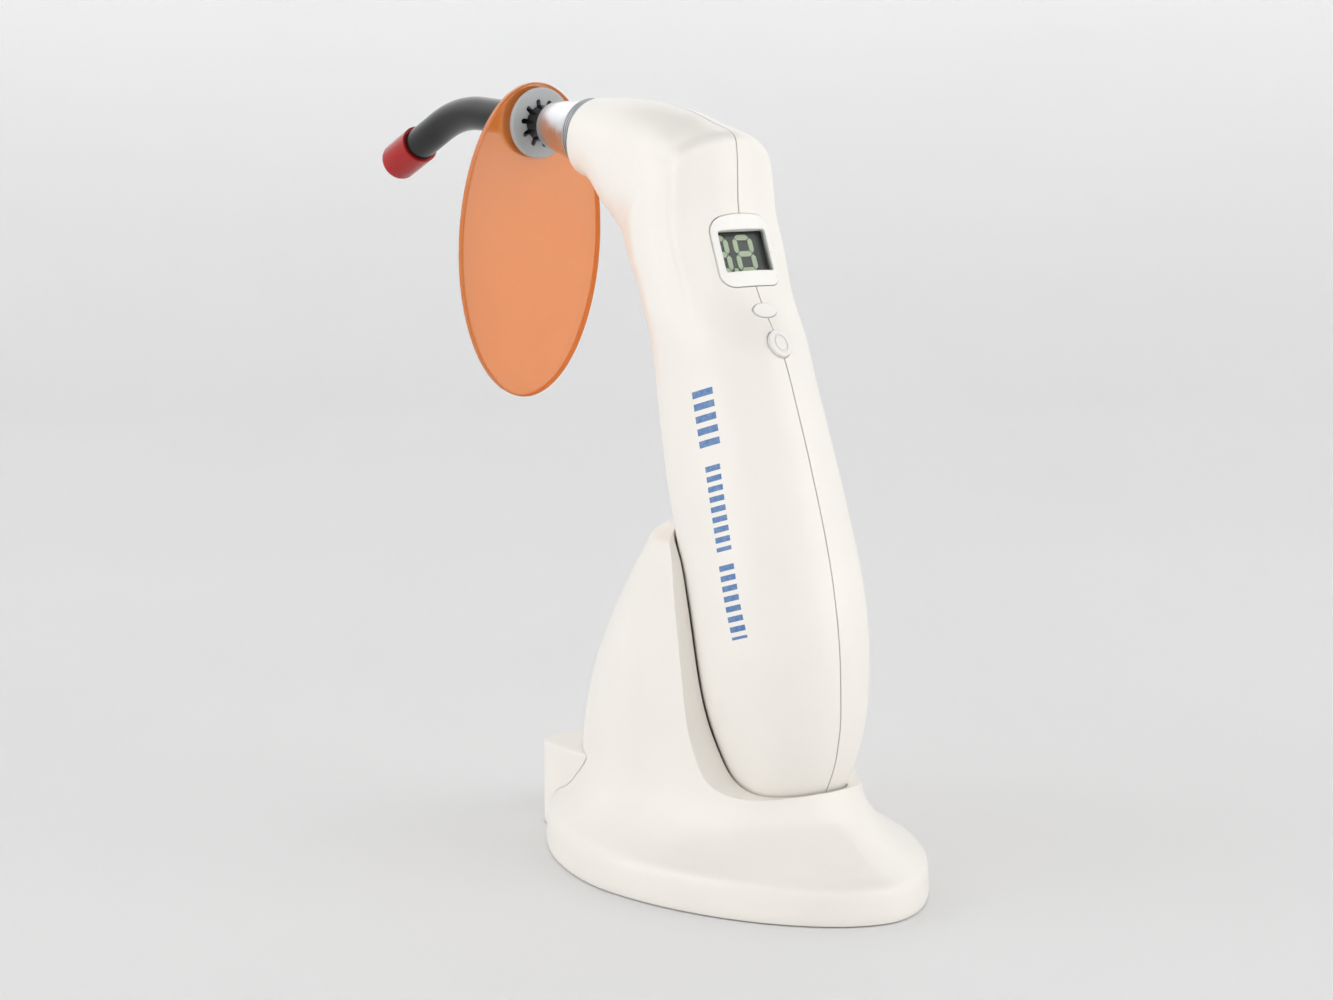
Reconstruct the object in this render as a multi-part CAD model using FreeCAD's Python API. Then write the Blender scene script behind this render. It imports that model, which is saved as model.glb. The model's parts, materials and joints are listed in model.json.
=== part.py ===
import FreeCAD, Part
import math
import os

os.makedirs("parts", exist_ok=True)

V = FreeCAD.Vector

# ---------------------------------------------------------------- driving dimensions (mm, degrees)
# Frame: origin on the floor under the middle of the stand, +Z up, the light guide points along -X
# and the display faces +X.  The unit is symmetric about the plane y = 0 apart from its screws.

WALL = 2.0                 # handpiece shell thickness
SEAM_GAP = 0.05            # air between the two handpiece shells
SEAM_GROOVE = 0.26         # width of the decorative groove along the seam
SEAM_DEPTH = 0.35

# Grip sections: height, front x, back x, half width
GRIP = [
    (12.5, 14.5, 22.0, 2.5),
    (13.5, 11.5, 25.0, 6.0),
    (16.5, 8.6, 27.9, 9.0),
    (22.0, 5.6, 31.0, 11.4),
    (28.0, 3.4, 34.0, 13.1),
    (40.0, -1.4, 36.5, 15.8),
    (52.0, -3.6, 36.2, 17.1),
    (64.0, -6.8, 34.6, 17.3),
    (76.0, -11.2, 31.7, 16.7),
    (88.0, -15.4, 27.7, 16.0),
    (100.0, -18.5, 23.2, 15.2),
    (112.0, -20.8, 18.3, 14.6),
]
GRIP_HEIGHTS = [12.5, 13.5, 16.5, 22, 28, 34, 40, 46, 52, 58, 64, 70, 76, 82, 88, 94, 100, 106, 112]
GRIP_SQUARENESS = 2.3

# Head sections fan round a horizontal pivot line in front of the grip:
# fan angle, inner radius, outer radius, half width, squareness of the back, flare of the hood
FAN_X = -56.6
FAN_Z = 119.0
HEAD = [
    (0.0, 34.7, 71.1, 14.9, 2.33, 0.5),
    (8.0, 33.4, 65.2, 14.9, 2.47, 1.2),
    (16.0, 32.5, 63.1, 14.7, 2.61, 1.9),
    (22.0, 31.3, 62.8, 14.5, 2.70, 2.2),
    (27.0, 30.5, 63.9, 14.1, 2.74, 2.1),
    (31.0, 29.9, 66.2, 13.8, 2.75, 2.1),
    (34.0, 29.7, 68.3, 13.6, 2.68, 2.0),
    (36.0, 29.7, 69.7, 13.4, 2.60, 2.0),
    (37.5, 29.7, 70.4, 13.2, 2.54, 1.8),
    (39.0, 29.6, 70.1, 13.1, 2.44, 1.6),
    (41.0, 29.6, 68.7, 12.8, 2.29, 1.4),
    (44.0, 29.6, 66.5, 12.5, 2.12, 1.0),
    (48.0, 29.6, 64.2, 12.3, 1.99, 0.6),
    (54.0, 29.7, 61.0, 12.1, 1.93, 0.2),
    (61.0, 30.2, 57.9, 11.8, 1.92, 0.0),
    (69.0, 31.8, 54.9, 10.9, 1.93, 0.0),
    (78.0, 32.9, 52.5, 9.8, 1.96, 0.0),
    (83.5, 33.1, 51.6, 9.2, 2.00, 0.0),
]

# Nose axis: rises forward; stations along it are measured backward from the nose face
NOSE = V(-53.43, 0, 162.4)
NOSE_TILT = 4.2
ROD_R = 4.1
FERRULE_R = 4.95
BORE_R = 5.05
SPIGOT_R = 5.85
COLLAR_R = 8.2
COLLAR_LEN = 2.0
COLLAR_DROP = 0.6          # the collar and the wide end of the nozzle sit a little below the rod axis
NOZZLE_FRONT_R = 5.55
NOZZLE_REAR_R = 7.8
NOZZLE_LEN = 14.5

# Light guide
BEND_START = 48.2          # distance from the nose face to the start of the bend
BEND_ANGLE = 28.1
BEND_RADIUS = 40.6
TIP_STRAIGHT = 22.5        # straight length of rod after the bend
CAP_R = 4.85
CAP_LEN = 13.1
CAP_RIM = 11.4             # distance from the end of the bend to the rim of the cap

# Shield
RING_STATION = 22.5        # rear face of the grommet, ahead of the nose face
GROMMET_R = 8.4
FLANGE_T = 2.0             # thickness of the grommet's rear flange
SHIELD_T = 2.0
SHIELD_HALF_W = 20.0
SHIELD_HALF_H = 37.95
SHIELD_DROP = 28.5         # shield centre below the rod axis
SLOTS = 10

# Display (centre on the back surface, leaning forward) and buttons
DISPLAY = V(3.45, 0, 137.95)
DISPLAY_LEAN = 23.3
BEZEL_W = 15.9
BEZEL_H = 16.4
WINDOW_W = 12.9
WINDOW_H = 9.4
BUTTON_LEAN = 33.8
MODE_BUTTON = V(9.85, 0, 125.3)
POWER_BUTTON = V(14.85, 0, 118.4)
BUTTON_MID = V(12.45, 0, 121.7)
MODE_HALF = (1.75, 3.1)    # half sizes down and across the back
POWER_HALF = (3.25, 2.75)

# Stand sections: height, front x, rear x, half width, x of the widest place
STAND = [
    (0.3, -56.3, 54.8, 35.8, -2.4),
    (1.0, -56.5, 55.0, 36.0, -2.4),
    (4.5, -56.5, 55.0, 36.0, -2.4),
    (6.6, -56.4, 54.7, 35.8, -2.3),
    (7.8, -56.2, 54.0, 35.3, -2.1),
    (8.7, -55.9, 52.8, 34.5, -1.7),
    (9.4, -55.4, 51.3, 33.4, -1.2),
    (10.1, -54.6, 49.0, 31.8, -0.4),
    (10.9, -53.6, 46.6, 30.1, 0.4),
    (12.0, -52.8, 44.1, 28.3, 1.2),
    (13.5, -52.3, 41.5, 26.4, 2.1),
    (15.5, -52.0, 38.7, 24.4, 3.0),
    (18.0, -51.6, 36.1, 22.6, 3.9),
    (21.0, -51.3, 34.4, 21.3, 4.4),
    (25.0, -50.7, 33.2, 20.5, 4.8),
    (30.0, -49.5, 32.4, 19.9, 5.2),
    (36.0, -47.7, 32.0, 19.7, 5.6),
    (42.0, -45.0, 32.0, 19.7, 5.8),
    (48.0, -41.5, 32.0, 19.7, 5.6),
    (54.0, -37.4, 32.0, 19.6, 5.0),
    (60.0, -32.7, 32.0, 19.5, 4.0),
    (65.0, -28.4, 31.0, 19.2, 3.0),
    (69.0, -25.0, 30.0, 18.5, 2.0),
    (72.0, -22.8, 28.0, 17.4, 1.0),
    (74.0, -22.0, 26.0, 16.0, 0.0),
    (75.6, -20.9, 23.0, 13.6, 0.0),
    (76.6, -19.1, 20.0, 10.6, 0.0),
]
STAND_WALL = 2.4
ROOF_DROP = 1.2            # extra wall under the flat shoulder of the base
CRADLE_GAP = 0.5
# Side view of the opening, from above the fin tip down to the lip and back past the rear of the cup
OPENING = [(-15.0, 78.5), (-9.0, 76.8), (-4.0, 74.6), (0.4, 71.0), (2.6, 66.0), (4.6, 57.0), (6.2, 48.0),
           (7.4, 41.0), (8.8, 34.8), (11.0, 30.0), (14.4, 25.6), (19.0, 23.3), (25.0, 22.6), (60.0, 22.4)]

# Inlet block and electronics in the stand
INLET_FRONT = -58.5
INLET_HALF_W = 15.4
INLET_TOP = 20.0
PLATE_Z = (1.0, 3.0)
PAD_INSET = 5.5            # non-slip pad under the base plate, inside the rim
BASE_SCREWS = [(40, 9), (40, -9), (-24, 24.5), (-24, -24.5)]
BOARD_POSTS = [(-36, 8.5), (-36, -8.5), (-9, 10), (-9, -10)]
PIN_X = (14.6, 21.8)
CONTACT_BOTTOM = 12.3
PIN_TOP = 12.25
SPRING_FOOT = 4.0
SPRING_HEIGHT = 3.2
SPRING_PITCH = 0.85
SPRING_R = 1.2
SPRING_WIRE_R = 0.16

# Case screws of the handpiece: x, z
CASE_SCREWS = [(18.4, 22.6), (-9.5, 106.0), (-20.5, 145.5)]


# ---------------------------------------------------------------- small helpers
def export(name, shape):
    shape.exportStep("parts/" + name + ".step")


def smooth(table, column, x):
    """Shape-preserving cubic interpolation of one column of a table against its first column."""
    xs = [row[0] for row in table]
    ys = [row[column] for row in table]
    x = min(max(x, xs[0]), xs[-1])
    i = 0
    while i < len(xs) - 2 and x > xs[i + 1]:
        i += 1
    slopes = []
    for k in (i, i + 1):
        if k == 0 or k == len(xs) - 1:
            j = min(k, len(xs) - 2)
            slopes.append((ys[j + 1] - ys[j]) / (xs[j + 1] - xs[j]))
            continue
        before = (ys[k] - ys[k - 1]) / (xs[k] - xs[k - 1])
        after = (ys[k + 1] - ys[k]) / (xs[k + 1] - xs[k])
        if before * after <= 0:
            slopes.append(0.0)
        else:
            slopes.append(2 * before * after / (before + after))
    step = xs[i + 1] - xs[i]
    t = (x - xs[i]) / step
    a = (1 + 2 * t) * (1 - t) ** 2
    b = t * (1 - t) ** 2 * step
    c = t * t * (3 - 2 * t)
    d = t * t * (t - 1) * step
    return a * ys[i] + b * slopes[0] + c * ys[i + 1] + d * slopes[1]


def power(value, exponent):
    return math.copysign(abs(value) ** exponent, value)


def closed_curve(points):
    curve = Part.BSplineCurve()
    knots = [i / len(points) for i in range(len(points) + 1)]
    curve.interpolate(Points=points, PeriodicFlag=True, Parameters=knots)
    return Part.Wire([curve.toShape()])


def skin(wires):
    """Solid whose side passes smoothly through closed curves that share one knot vector."""
    curves = [wire.Edges[0].Curve for wire in wires]
    columns = [curve.getPoles() for curve in curves]
    reach = [0.0]
    for before, after in zip(columns, columns[1:]):
        gaps = [(a - b).Length for a, b in zip(before, after)]
        reach.append(reach[-1] + sum(gaps) / len(gaps))
    spines = []
    for i in range(len(columns[0])):
        spine = Part.BSplineCurve()
        spine.interpolate(Points=[column[i] for column in columns], Parameters=reach)
        spines.append(spine)
    around = curves[0]
    along = spines[0]
    surface = Part.BSplineSurface()
    surface.buildFromPolesMultsKnots([spine.getPoles() for spine in spines],
                                     around.getMultiplicities(), along.getMultiplicities(),
                                     around.getKnots(), along.getKnots(),
                                     True, False, around.Degree, along.Degree)
    side = surface.toShape()
    caps = [Part.Face(Part.Wire([edge])) for edge in side.Edges if edge.Closed]
    shell = Part.Shell([side] + caps)
    shell.sewShape()
    solid = Part.Solid(shell)
    if solid.Volume < 0:
        solid.reverse()
    return solid


def extrude(points, direction):
    """Solid made by pushing a closed planar polygon along a vector."""
    return Part.Face(Part.makePolygon(points + [points[0]])).extrude(direction)


def local_frame(origin, lean):
    """Placement whose x runs down the back surface, y across it and z straight out of it."""
    angle = math.radians(lean)
    down = V(math.sin(angle), 0, -math.cos(angle))
    out = V(math.cos(angle), 0, math.sin(angle))
    side = out.cross(down)
    matrix = FreeCAD.Matrix(down.x, side.x, out.x, origin.x,
                            down.y, side.y, out.y, origin.y,
                            down.z, side.z, out.z, origin.z,
                            0, 0, 0, 1)
    return FreeCAD.Placement(matrix)


def placed(shape, placement):
    result = shape.copy()
    result.Placement = placement
    return result


def box(x0, x1, y0, y1, z0, z1):
    return Part.makeBox(x1 - x0, y1 - y0, z1 - z0, V(x0, y0, z0))


def rounded_box(x0, x1, y0, y1, z0, z1, radius):
    solid = box(x0, x1, y0, y1, z0, z1)
    upright = [e for e in solid.Edges if abs(e.tangentAt(e.FirstParameter).z) > 0.99]
    return solid.makeFillet(radius, upright)


def tube(outer, inner, length, base, axis):
    return Part.makeCylinder(outer, length, base, axis).cut(
        Part.makeCylinder(inner, length + 2, base - axis * 1.0, axis))


NOSE_BACK = V(math.cos(math.radians(NOSE_TILT)), 0, -math.sin(math.radians(NOSE_TILT)))
NOSE_DOWN = V(-math.sin(math.radians(NOSE_TILT)), 0, -math.cos(math.radians(NOSE_TILT)))


def on_nose(station):
    """Point on the nose axis; positive stations lie inside the head, negative ones ahead of it."""
    return NOSE + NOSE_BACK * station


def nose_disc(radius, start, end, drop=0.0):
    return Part.makeCylinder(radius, end - start, on_nose(start) + NOSE_DOWN * drop, NOSE_BACK)


def nose_tube(outer, inner, start, end):
    return nose_disc(outer, start, end).cut(nose_disc(inner, start - 1, end + 1))


# ---------------------------------------------------------------- handpiece body surface
def section(inner, outer, half_w, squareness, flare, inset):
    """Closed outline as (reach, side) pairs, with an optional hood flare near its back corners."""
    middle = (inner + outer) / 2
    reach = (outer - inner) / 2 - inset
    half_w -= inset
    outline = []
    count = 48
    for i in range(count):
        phi = 2 * math.pi * i / count
        n = squareness if math.cos(phi) >= 0 else GRIP_SQUARENESS
        e = middle + reach * power(math.cos(phi), 2 / n)
        y = half_w * power(math.sin(phi), 2 / n)
        away = math.degrees(min(phi, 2 * math.pi - phi))
        bump = math.exp(-((away - 50) / 17) ** 2) - 0.75 * math.exp(-((away - 92) / 20) ** 2)
        y += math.copysign(flare * bump, math.sin(phi)) if 0.01 < abs(math.sin(phi)) else 0
        outline.append((e, y))
    return outline


def grip_wire(z, inset):
    front, back, half_w = [smooth(GRIP, k, z) for k in (1, 2, 3)]
    flare = max(0.0, (z - 80) / 110)
    outline = section(front, back, half_w, GRIP_SQUARENESS, flare, inset)
    return closed_curve([V(e, y, z) for e, y in outline])


def head_wire(station, inset):
    angle, inner, outer, half_w, squareness, flare = station
    outline = section(inner, outer, half_w, squareness, flare, inset)
    c = math.cos(math.radians(angle))
    s = math.sin(math.radians(angle))
    return closed_curve([V(FAN_X + e * c, y, FAN_Z + e * s) for e, y in outline])


def body_loft(inset, lowest=None):
    """Handpiece outer surface moved inward by inset; lowest replaces the first grip heights."""
    heights = [z for z in GRIP_HEIGHTS if lowest is None or z > lowest + 0.5]
    if lowest is not None:
        heights = [lowest] + heights
    wires = [grip_wire(z, inset) for z in heights]
    wires += [head_wire(station, inset) for station in HEAD]
    return skin(wires)


def cradle_loft(gap, bottom):
    """Space the handle base drops into: the grip surface grown outward by gap."""
    heights = [z for z in GRIP_HEIGHTS if 14 < z < 90]
    wires = [grip_wire(z, -gap) for z in heights]
    first = [V(18.2 + (p.x - 18.2) * 0.75, p.y * 0.75, bottom)
             for p in (vertex_ring(grip_wire(16.5, -gap)))]
    return skin([closed_curve(first)] + wires)


def vertex_ring(wire):
    """The wire sampled at equal parameters, ready to be rescaled."""
    curve = wire.Edges[0].Curve
    return [curve.value(i / 48) for i in range(48)]


def stand_wire(z, inset):
    front, rear, half_w, widest = [smooth(STAND, k, z) for k in (1, 2, 3, 4)]
    n = 1.79 + 0.41 * max(0.0, min(1.0, (z - 6) / 22))
    points = []
    for i in range(48):
        phi = 2 * math.pi * i / 48
        reach = rear - widest if math.cos(phi) >= 0 else widest - front
        x = widest + (reach - inset) * power(math.cos(phi), 2 / n)
        y = (half_w - inset) * power(math.sin(phi), 2 / n)
        points.append(V(x, y, z))
    return closed_curve(points)


# ---------------------------------------------------------------- handpiece shells
def surface_side(outer, x, z):
    """Half width of the handpiece at one place of the side view."""
    chord = outer.common(Part.makeLine(V(x, -40, z), V(x, 40, z)))
    return chord.BoundBox.YMax


def bezel_prism(grow, low, high):
    """Arched outline of the display bezel, pushed through the back wall."""
    half_w = BEZEL_W / 2 + grow
    top = -BEZEL_H / 2 - grow
    bottom = BEZEL_H / 2 + grow
    arch = Part.Arc(V(top + 1.0, -half_w, low), V(top, 0, low), V(top + 1.0, half_w, low)).toShape()
    edges = [arch,
             Part.makeLine(V(top + 1.0, half_w, low), V(bottom, half_w, low)),
             Part.makeLine(V(bottom, half_w, low), V(bottom, -half_w, low)),
             Part.makeLine(V(bottom, -half_w, low), V(top + 1.0, -half_w, low))]
    solid = Part.Face(Part.Wire(edges)).extrude(V(0, 0, high - low))
    upright = [e for e in solid.Edges if abs(e.Vertexes[0].Z - e.Vertexes[-1].Z) > 1]
    solid = solid.makeFillet(3.4 + grow, upright)
    return placed(solid, local_frame(DISPLAY, DISPLAY_LEAN))


def oval_prism(centre, half_down, half_across, low, high):
    major = max(half_down, half_across)
    minor = min(half_down, half_across)
    ellipse = Part.Ellipse(V(0, 0, 0), major, minor).toShape()
    if half_across > half_down:
        ellipse.rotate(V(0, 0, 0), V(0, 0, 1), 90)
    ellipse.translate(V(0, 0, low))
    solid = Part.Face(Part.Wire([ellipse])).extrude(V(0, 0, high - low))
    return placed(solid, local_frame(centre, BUTTON_LEAN))


def button_prism(centre, half, grow, low, high):
    return oval_prism(centre, half[0] + grow, half[1] + grow, low, high)


def seam_cutter(outer):
    """Thin slot that leaves the visible groove between the two shells."""
    band = box(-80, 60, -SEAM_GROOVE / 2, SEAM_GROOVE / 2, 0, 190)
    return band.common(outer.cut(body_loft(SEAM_DEPTH)))


def screw_boss(x, z, half_w, side):
    """Boss on one side of the seam; the head side is counterbored."""
    if side < 0:
        boss = Part.makeCylinder(2.7, half_w + 3, V(x, -half_w - 3, z), V(0, 1, 0))
        return boss.cut(box(-80, 60, -SEAM_GAP / 2, 5, 0, 200))
    boss = Part.makeCylinder(3.6, half_w + 3, V(x, SEAM_GAP / 2, z), V(0, 1, 0))
    return boss


def build_shell(outer, cavity, side, widths):
    """One half of the handpiece: side -1 is the left (printed) half, +1 the right half."""
    half_space = box(-90, 70, 0, 60, 0, 200)
    if side < 0:
        half_space = box(-90, 70, -60, 0, 0, 200)
    half_space.translate(V(0, side * SEAM_GAP / 2, 0))
    half = outer.common(half_space)
    shell = half.cut(cavity)
    for (x, z), half_w in zip(CASE_SCREWS, widths):
        shell = shell.fuse(screw_boss(x, z, half_w, side).common(half))
    for (x, z), half_w in zip(CASE_SCREWS, widths):
        if side < 0:
            shell = shell.cut(Part.makeCylinder(1.2, 9.0, V(x, -7.5, z), V(0, 1, 0)))
        else:
            seat = half_w - 3.0
            shell = shell.cut(Part.makeCylinder(1.35, half_w + 5, V(x, 0, z), V(0, 1, 0)))
            shell = shell.cut(Part.makeCylinder(2.6, 8, V(x, seat, z), V(0, 1, 0)))
    shell = shell.cut(bezel_prism(0.12, -6, 4))
    shell = shell.cut(button_prism(MODE_BUTTON, MODE_HALF, 0.1, -6, 4))
    shell = shell.cut(button_prism(POWER_BUTTON, POWER_HALF, 0.1, -6, 4))
    shell = shell.cut(nose_disc(5.95, -2, 20))
    for x in PIN_X:
        shell = shell.cut(Part.makeCylinder(1.4, 6, V(x, 0, 10), V(0, 0, 1)))
    return shell


# ---------------------------------------------------------------- handpiece fittings
def build_collar():
    """Grooved collar that fills the gap between the slanted end of the body and the nozzle."""
    collar = nose_disc(COLLAR_R, -COLLAR_LEN, 4.0, COLLAR_DROP)
    for start in (-1.5, -0.75, 0.0):
        groove = nose_disc(COLLAR_R + 1, start, start + 0.3, COLLAR_DROP)
        collar = collar.cut(groove.cut(nose_disc(COLLAR_R - 0.4, start - 1, start + 1, COLLAR_DROP)))
    collar = collar.cut(body_loft(0)).fuse(nose_disc(SPIGOT_R, -0.2, 8.6))
    collar = collar.cut(nose_disc(BORE_R, -COLLAR_LEN - 1, 9.6))
    return collar.cut(nose_disc(5.6, 3.5, 4.5)).removeSplitter()


def build_retaining_ring():
    return Part.makeTorus(5.33, 0.27, on_nose(4.0), NOSE_BACK)


def build_nozzle():
    """Leaning cone: its wide end is centred on the collar, its narrow end on the rod."""
    front = -COLLAR_LEN - NOZZLE_LEN
    wide = Part.Circle(on_nose(-COLLAR_LEN) + NOSE_DOWN * COLLAR_DROP, NOSE_BACK, NOZZLE_REAR_R)
    narrow = Part.Circle(on_nose(front), NOSE_BACK, NOZZLE_FRONT_R)
    cone = Part.makeLoft([Part.Wire([circle.toShape()]) for circle in (narrow, wide)], True, True)
    rim = [e for e in cone.Edges if e.Closed and (e.CenterOfMass - on_nose(front)).Length < 1]
    cone = cone.makeFillet(0.3, rim)
    return cone.cut(nose_disc(BORE_R, front - 1, 1))


def build_lens():
    blank = nose_disc(4.6, 9.6, 11.5)
    ball = Part.makeSphere(7.2, on_nose(9.6 + 7.2), NOSE_BACK)
    return blank.common(ball)


def build_emitter():
    return box(-1.6, 1.6, -1.6, 1.6, 0, 0.7)


def build_led():
    body = placed(build_emitter(), nose_placement(13.1))
    dome = Part.makeSphere(1.2, on_nose(12.9), NOSE_BACK).common(nose_disc(3, 11.0, 12.9))
    base = nose_disc(1.5, 12.9, 13.1)
    return body.fuse(base).fuse(dome).removeSplitter()


def nose_placement(station):
    """Placement whose z axis looks backward along the nose axis, with its origin at a station."""
    turn = FreeCAD.Rotation(V(0, 0, 1), NOSE_BACK)
    return FreeCAD.Placement(on_nose(station), turn)


def build_led_board():
    board = nose_disc(5.6, 13.8, 15.2)
    for i in range(6):
        angle = math.radians(60 * i + 30)
        offset = V(0, math.cos(angle), 0) * 5.6 + NOSE_DOWN * (5.6 * math.sin(angle))
        notch = Part.makeCylinder(0.9, 2.4, on_nose(13.3) + offset, NOSE_BACK)
        board = board.cut(notch)
    return board


def build_heat_sink():
    sink = nose_disc(3.2, 15.2, 36.0)
    sink = sink.fuse(nose_disc(5.8, 15.2, 17.0))
    for i in range(8):
        start = 18.6 + 2.2 * i
        sink = sink.fuse(nose_disc(5.8, start, start + 0.9))
    return sink.removeSplitter()


def build_bezel():
    """Bezel that follows the hood surface and stands a little proud of it."""
    skin = body_loft(-0.3).cut(body_loft(1.9))
    bezel = skin.common(bezel_prism(0.0, -6, 4))
    window = rounded_box(-WINDOW_H / 2, WINDOW_H / 2, -WINDOW_W / 2, WINDOW_W / 2, -8, 4, 0.6)
    frame = local_frame(DISPLAY, DISPLAY_LEAN)
    bezel = bezel.cut(placed(window, frame))
    recess = rounded_box(-5.6, 5.6, -7.35, 7.35, -8, -1.15, 0.8)
    return bezel.cut(placed(recess, frame))


def build_window():
    pane = rounded_box(-5.5, 5.5, -7.25, 7.25, -2.0, -1.2, 0.7)
    return placed(pane, local_frame(DISPLAY, DISPLAY_LEAN))


def build_lcd():
    module = box(-5.3, 5.3, -7.0, 7.0, -5.3, -2.75)
    glass = box(-5.1, 5.1, -6.9, 6.9, -2.75, -2.45)
    return placed(module.fuse(glass).removeSplitter(), local_frame(DISPLAY, DISPLAY_LEAN))


def segment(x0, y0, x1, y1, half_w):
    """One display bar with pointed ends between two corners of a digit."""
    along = V(x1 - x0, y1 - y0, 0).normalize()
    across = V(-along.y, along.x, 0)
    start = V(x0, y0, 0) + along * (half_w * 0.25)
    end = V(x1, y1, 0) - along * (half_w * 0.25)
    points = [start, start + along * half_w + across * half_w, end - along * half_w + across * half_w,
              end, end - along * half_w - across * half_w, start + along * half_w - across * half_w]
    return extrude(points, V(0, 0, 0.08))


def build_segments():
    """Two seven-bar digits and a decimal point; the first digit runs off the edge of the glass."""
    half_h = 3.75
    half_w = 2.05
    half_stroke = 0.62
    bars = []
    for centre in (1.3, -5.4):
        left = centre - half_w
        right = centre + half_w
        for level in (-half_h, 0, half_h):
            bars.append(segment(level, left, level, right, half_stroke))
        for side in (left, right):
            bars.append(segment(-half_h, side, 0, side, half_stroke))
            bars.append(segment(0, side, half_h, side, half_stroke))
    bars.append(box(3.2, 4.2, -2.6, -1.6, 0, 0.08))
    active = box(-5.0, 5.0, -6.8, 6.8, -1, 1)
    clipped = [bar.common(active) for bar in bars]
    group = Part.makeCompound([solid for bar in clipped for solid in bar.Solids])
    place = local_frame(DISPLAY, DISPLAY_LEAN)
    return placed(group, place.multiply(FreeCAD.Placement(V(0, 0, -2.45), FreeCAD.Rotation())))


def build_mode_button():
    cap = button_prism(MODE_BUTTON, MODE_HALF, 0, -3.3, 4).common(body_loft(-0.35))
    flange = button_prism(MODE_BUTTON, MODE_HALF, 0.55, -4.0, -3.1)
    stem = oval_prism(MODE_BUTTON, 0.9, 0.9, -4.2, -3.3)
    return cap.fuse(flange).fuse(stem).removeSplitter()


def build_power_button():
    cap = button_prism(POWER_BUTTON, POWER_HALF, 0, -3.3, 4).common(body_loft(-0.85))
    ring = oval_prism(POWER_BUTTON, 2.15, 1.7, -1, 4).cut(oval_prism(POWER_BUTTON, 1.75, 1.3, -1, 4))
    cap = cap.cut(ring.cut(body_loft(-0.7)))
    flange = button_prism(POWER_BUTTON, POWER_HALF, 0.65, -4.0, -3.1)
    stem = oval_prism(POWER_BUTTON, 0.9, 0.9, -4.2, -3.3)
    return cap.fuse(flange).fuse(stem).removeSplitter()


def button_spots():
    frame = local_frame(BUTTON_MID, BUTTON_LEAN)
    return [frame.inverse().multVec(spot) for spot in (MODE_BUTTON, POWER_BUTTON)]


def build_main_board():
    frame = local_frame(BUTTON_MID, BUTTON_LEAN)
    board = rounded_box(-25, 23, -8, 8, -9.2, -8.0, 1.5)
    return placed(board, frame)


def build_board_parts():
    """Chips on the main board, each a separate block."""
    frame = local_frame(BUTTON_MID, BUTTON_LEAN)
    blocks = [box(10, 16, -3, 3, -8.0, -6.4), box(-20, -12, -4, 4, -10.6, -9.2),
              box(-6, -2, -6, -2, -10.4, -9.2), box(2, 6, 1, 5, -10.8, -9.2)]
    return placed(Part.makeCompound(blocks), frame)


def build_tact_switches():
    frame = local_frame(BUTTON_MID, BUTTON_LEAN)
    switches = []
    for spot in button_spots():
        body = box(spot.x - 2.2, spot.x + 2.2, -2.2, 2.2, -8.0, -5.6)
        plunger = Part.makeCylinder(0.9, 0.5, V(spot.x, 0, -5.6))
        switches.append(body.fuse(plunger).removeSplitter())
    return placed(Part.makeCompound(switches), frame)


def build_buzzer():
    frame = local_frame(BUTTON_MID, BUTTON_LEAN)
    can = Part.makeCylinder(4.2, 3.2, V(14, 0, -12.4))
    return placed(can.cut(Part.makeCylinder(0.8, 1.0, V(14, 0, -12.5))), frame)


BATTERY_FOOT = V(18.0, 0, 31.6)
BATTERY_AXIS = V(-15.0, 0, 66.5).normalize()


def build_battery():
    cell = Part.makeCylinder(9.1, 62.5, BATTERY_FOOT, BATTERY_AXIS)
    ends = [e for e in cell.Edges if e.Length > 50 and e.Closed]
    cell = cell.makeFillet(0.8, ends)
    cap = Part.makeCylinder(3.6, 1.5, BATTERY_FOOT + BATTERY_AXIS * 62.5, BATTERY_AXIS)
    return cell.fuse(cap)


def build_battery_tabs():
    top = Part.makeCylinder(4.2, 0.3, BATTERY_FOOT + BATTERY_AXIS * 64.0, BATTERY_AXIS)
    bottom = Part.makeCylinder(5.2, 0.3, BATTERY_FOOT - BATTERY_AXIS * 0.3, BATTERY_AXIS)
    return Part.makeCompound([top, bottom])


def build_charge_contacts():
    pads = []
    for x in PIN_X:
        pad = Part.makeCylinder(1.4, 3.7, V(x, 0, CONTACT_BOTTOM))
        pads.append(pad.fuse(Part.makeCylinder(2.0, 0.8, V(x, 0, CONTACT_BOTTOM + 3.7))))
    return Part.makeCompound(pads)


def build_case_screws(widths):
    screws = []
    for (x, z), half_w in zip(CASE_SCREWS, widths):
        seat = half_w - 3.0
        shank = Part.makeCylinder(1.18, seat + 7.0, V(x, -7.0, z), V(0, 1, 0))
        head = Part.makeCylinder(2.4, 1.5, V(x, seat, z), V(0, 1, 0))
        slots = box(x - 1.3, x + 1.3, seat + 0.8, seat + 2, z - 0.3, z + 0.3)
        slots = slots.fuse(box(x - 0.3, x + 0.3, seat + 0.8, seat + 2, z - 1.3, z + 1.3))
        screws.append(shank.fuse(head).cut(slots))
    return Part.makeCompound(screws)


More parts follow.
